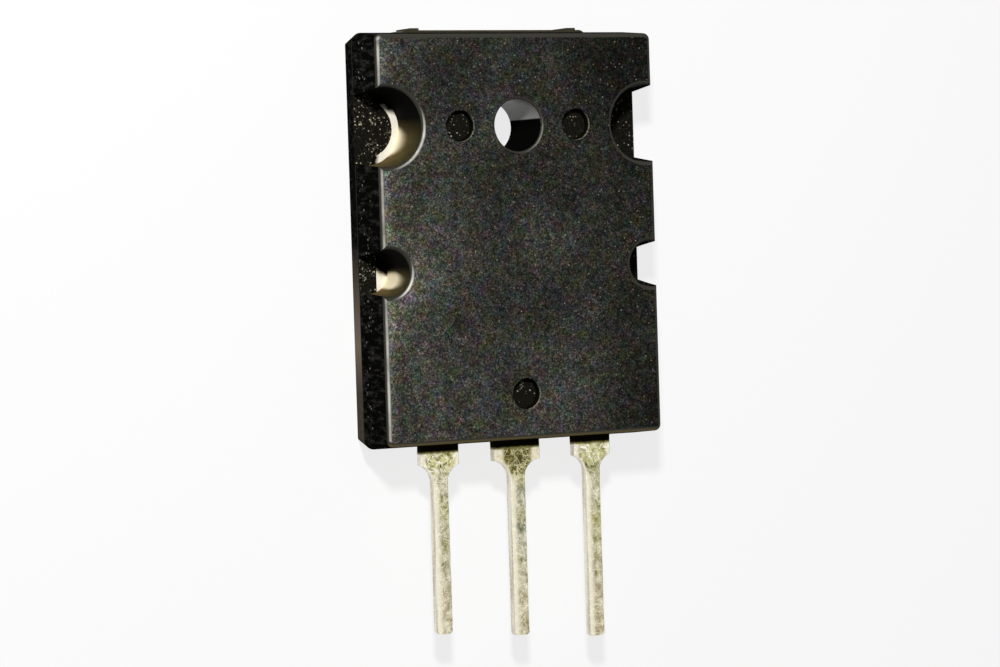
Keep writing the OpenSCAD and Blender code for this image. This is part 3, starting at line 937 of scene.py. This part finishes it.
def plated_copper(tree):
    """Copper strip under thin matt nickel: pale warm satin on its faces, brown where it was sheared.

    Its lead is tinned as the others are.
    """
    where = add(tree, "ShaderNodeTexCoord", output="Object")
    x, y, _ = add(tree, "ShaderNodeSeparateXYZ", {"Vector": where}).node.outputs
    facing = add(tree, "ShaderNodeSeparateXYZ", {"Vector": where.node.outputs["Normal"]}, "Z")
    mottle = add(
        tree,
        "ShaderNodeTexNoise",
        {"Vector": where, "Scale": per(MOTTLE_SIZE), "Detail": 4, "Roughness": 0.6},
    )
    plate = plate_colour(tree, x, y, facing, mottle)
    tinned, relief, unshadowed = tin(tree, where, shoulder_dirt="#857d50", shoulder_creases="#c4bd8e")
    below = add(
        tree,
        "ShaderNodeMapRange",
        {"Value": y, "From Min": body_low.y + 0.6 * MM, "From Max": body_low.y + 0.4 * MM},
    )
    colour = add(tree, "ShaderNodeMix", {"Factor": below, "A": plate, "B": tinned}, data_type="RGBA")

    # it shines as metal where the lead is tinned, out of its root's painted shadow, and on the plate's back,
    # and is matt in the notches
    dipped = add(tree, "ShaderNodeMath", {0: below, 1: unshadowed}, operation="MULTIPLY")
    behind = add(tree, "ShaderNodeMapRange", {"Value": facing, "From Min": 0.1, "From Max": -0.1})
    back = add(tree, "ShaderNodeMath", {0: behind, 1: below}, operation="SUBTRACT", use_clamp=True)
    metallic = add(tree, "ShaderNodeMath", {0: dipped, 1: back}, operation="MAXIMUM")
    roughness = add(
        tree, "ShaderNodeMapRange", {"Value": below, "To Min": NICKEL_ROUGHNESS, "To Max": TIN_ROUGHNESS}
    )
    return metal(tree, colour, relief, roughness, metallic)


def sealed_metal(tree, dark, light, roughness, grain_size):
    """A plain mottled metal for what is sealed inside: silicon, solder or aluminium wire."""
    where = add(tree, "ShaderNodeTexCoord", output="Object")
    mottle = add(tree, "ShaderNodeTexNoise", {"Vector": where, "Scale": per(grain_size), "Detail": 2})
    colour = add(
        tree,
        "ShaderNodeMix",
        {"Factor": mottle, "A": linear(dark), "B": linear(light)},
        data_type="RGBA",
    )
    return metal(tree, colour, mottle, roughness)


# Parts

COAT_VOXEL = 0.05
COAT_SMOOTHING = 4
LUMP_SIZE = 0.45
LUMP_HEIGHT = 0.018
CUT_ABOVE = 0.3  # how far inside the moulding a lead's coated length starts


def cut_off(mesh, keep_below):
    """A closed copy, in millimetres, of the part of a mesh that is below the cut, or else above it."""
    part = bmesh.new()
    part.from_mesh(mesh)
    bmesh.ops.remove_doubles(part, verts=part.verts, dist=0.001 * MM)
    bmesh.ops.transform(part, matrix=Matrix.Scale(1 / MM, 4), verts=part.verts)
    cut = Vector((0, body_low.y / MM + CUT_ABOVE, 0))
    bmesh.ops.bisect_plane(
        part,
        geom=part.verts[:] + part.edges[:] + part.faces[:],
        plane_co=cut,
        plane_no=(0, 1, 0),
        clear_outer=keep_below,
        clear_inner=not keep_below,
    )
    rim = [edge for edge in part.edges if edge.is_boundary]
    bmesh.ops.holes_fill(part, edges=rim)
    result = bpy.data.meshes.new(mesh.name + "_part")
    part.to_mesh(result)
    part.free()
    return result


def dipped_skin(source):
    """The outer length of a lead as an even skin with rounded edges, in millimetres."""
    lead = bpy.data.objects.new("dipped_lead", cut_off(source, keep_below=True))
    bpy.context.scene.collection.objects.link(lead)
    remesh = lead.modifiers.new("even_skin", "REMESH")
    remesh.mode = "VOXEL"
    remesh.voxel_size = COAT_VOXEL
    rounding = lead.modifiers.new("rounded_edges", "SMOOTH")
    rounding.iterations = COAT_SMOOTHING
    skin = bpy.data.meshes.new_from_object(lead.evaluated_get(bpy.context.evaluated_depsgraph_get()))
    bpy.data.objects.remove(lead)
    return skin


def coated(node):
    """A piece in a node's place, whose lead has the rounded edges and slight lumps of its dipped coat.

    It is two closed shells, the coated length and the rest of the node, which lap inside the moulding.
    """
    source = nodes[node].data
    whole = bmesh.new()
    whole.from_mesh(dipped_skin(source))
    whole.normal_update()
    for vertex in whole.verts:
        vertex.co += vertex.normal * noise.noise(vertex.co / LUMP_SIZE) * LUMP_HEIGHT
    for face in whole.faces:
        face.smooth = True
    whole.from_mesh(cut_off(source, keep_below=False))
    bmesh.ops.transform(whole, matrix=Matrix.Scale(MM, 4), verts=whole.verts)
    mesh = bpy.data.meshes.new("coated_" + node)
    whole.to_mesh(mesh)
    whole.free()
    piece = bpy.data.objects.new("coated_" + node, mesh)
    bpy.context.scene.collection.objects.link(piece)
    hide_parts(node)
    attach(piece, "root")
    return piece


def finish(piece, material):
    """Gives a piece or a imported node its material."""
    piece.data.materials.clear()
    piece.data.materials.append(material)


def finish_parts():
    compound = node_material("black_epoxy_moulding_compound", moulding_compound)
    finish(nodes["moulded_body"], compound)
    strip = node_material("plated_copper_strip", plated_copper)
    finish(coated("collector_header"), strip)
    dipped = node_material("tinned_copper_strip", tinned_copper)
    for lead in ("base_lead", "emitter_lead"):
        finish(coated(lead), dipped)
    chip = node_material(
        "metallised_silicon", sealed_metal, dark="#70737b", light="#8d9098", roughness=0.3, grain_size=1.5
    )
    finish(nodes["silicon_chip"], chip)
    solder = node_material(
        "soft_solder", sealed_metal, dark="#7d7c79", light="#9a9996", roughness=0.5, grain_size=0.4
    )
    finish(nodes["die_solder"], solder)
    drawn = node_material(
        "drawn_aluminium_wire", sealed_metal, dark="#b9babc", light="#e2e2e4", roughness=0.35, grain_size=0.2
    )
    for wire in ("base_wire", "emitter_wire_inner", "emitter_wire_outer"):
        finish(nodes[wire], drawn)


# Studio

FLOOR_SIDE = 3000
PAPER = 0.8  # how much of the light on it the paper gives back to the part
SEEN_GLOW = 0.8  # the share of its white, where it is seen, that takes no shadow
FILL = 0.12  # the room's soft light
KEY_LEFT, KEY_UP = math.radians(27), math.radians(26)
KEY_DISTANCE = 200
KEY_SIDE = 18
KEY_POWER = 0.36


def seen_directly(tree):
    """1 where the camera, a mirror or glass sees the surface, and 0 where it only lights other things."""
    rays = add(tree, "ShaderNodeLightPath").node.outputs
    seen = rays["Is Camera Ray"]
    for kind in ("Is Glossy Ray", "Is Transmission Ray"):
        seen = add(tree, "ShaderNodeMath", {0: seen, 1: rays[kind]}, operation="MAXIMUM")
    return seen


def white_paper(tree):
    """Plain paper: white where it is seen, with a faint shadow, and pale where it only bounces light."""
    grey = [1 - SEEN_GLOW] * 3 + [1]
    shaded = add(tree, "ShaderNodeBsdfDiffuse", {"Color": grey})
    glow = add(tree, "ShaderNodeEmission", {"Color": (1, 1, 1, 1), "Strength": SEEN_GLOW})
    white = add(tree, "ShaderNodeAddShader", {0: shaded, 1: glow})
    pale = add(tree, "ShaderNodeBsdfDiffuse", {"Color": (PAPER, PAPER, PAPER, 1)})
    return add(tree, "ShaderNodeMixShader", {0: seen_directly(tree), 1: pale, 2: white})


def add_floor():
    half = FLOOR_SIDE / 2 * MM
    corners = [(-half, -half, 0), (half, -half, 0), (half, half, 0), (-half, half, 0)]
    mesh = bpy.data.meshes.new("floor")
    mesh.from_pydata(corners, [], [(0, 1, 2, 3)])
    floor = bpy.data.objects.new("floor", mesh)
    bpy.context.scene.collection.objects.link(floor)
    floor.location.z = cad_low.z
    floor.data.materials.append(node_material("white_paper", white_paper))


def add_world():
    world = bpy.data.worlds.new("studio")
    world.use_nodes = True
    tree = world.node_tree
    tree.nodes.clear()
    strength = add(tree, "ShaderNodeMapRange", {"Value": seen_directly(tree), "To Min": FILL, "To Max": 1.0})
    sky = add(tree, "ShaderNodeBackground", {"Color": (1, 1, 1, 1), "Strength": strength})
    add(tree, "ShaderNodeOutputWorld", {"Surface": sky})
    bpy.context.scene.world = world


def add_key():
    data = bpy.data.lights.new("key", "AREA")
    data.shape = "SQUARE"
    data.size = KEY_SIDE * MM
    data.energy = KEY_POWER
    lamp = bpy.data.objects.new("key", data)
    bpy.context.scene.collection.objects.link(lamp)
    lamp.matrix_world = look(body_middle, direction(KEY_LEFT, KEY_UP), KEY_DISTANCE)


add_camera()
finish_parts()
add_floor()
add_world()
add_key()
bpy.context.scene.view_settings.view_transform = "Standard"
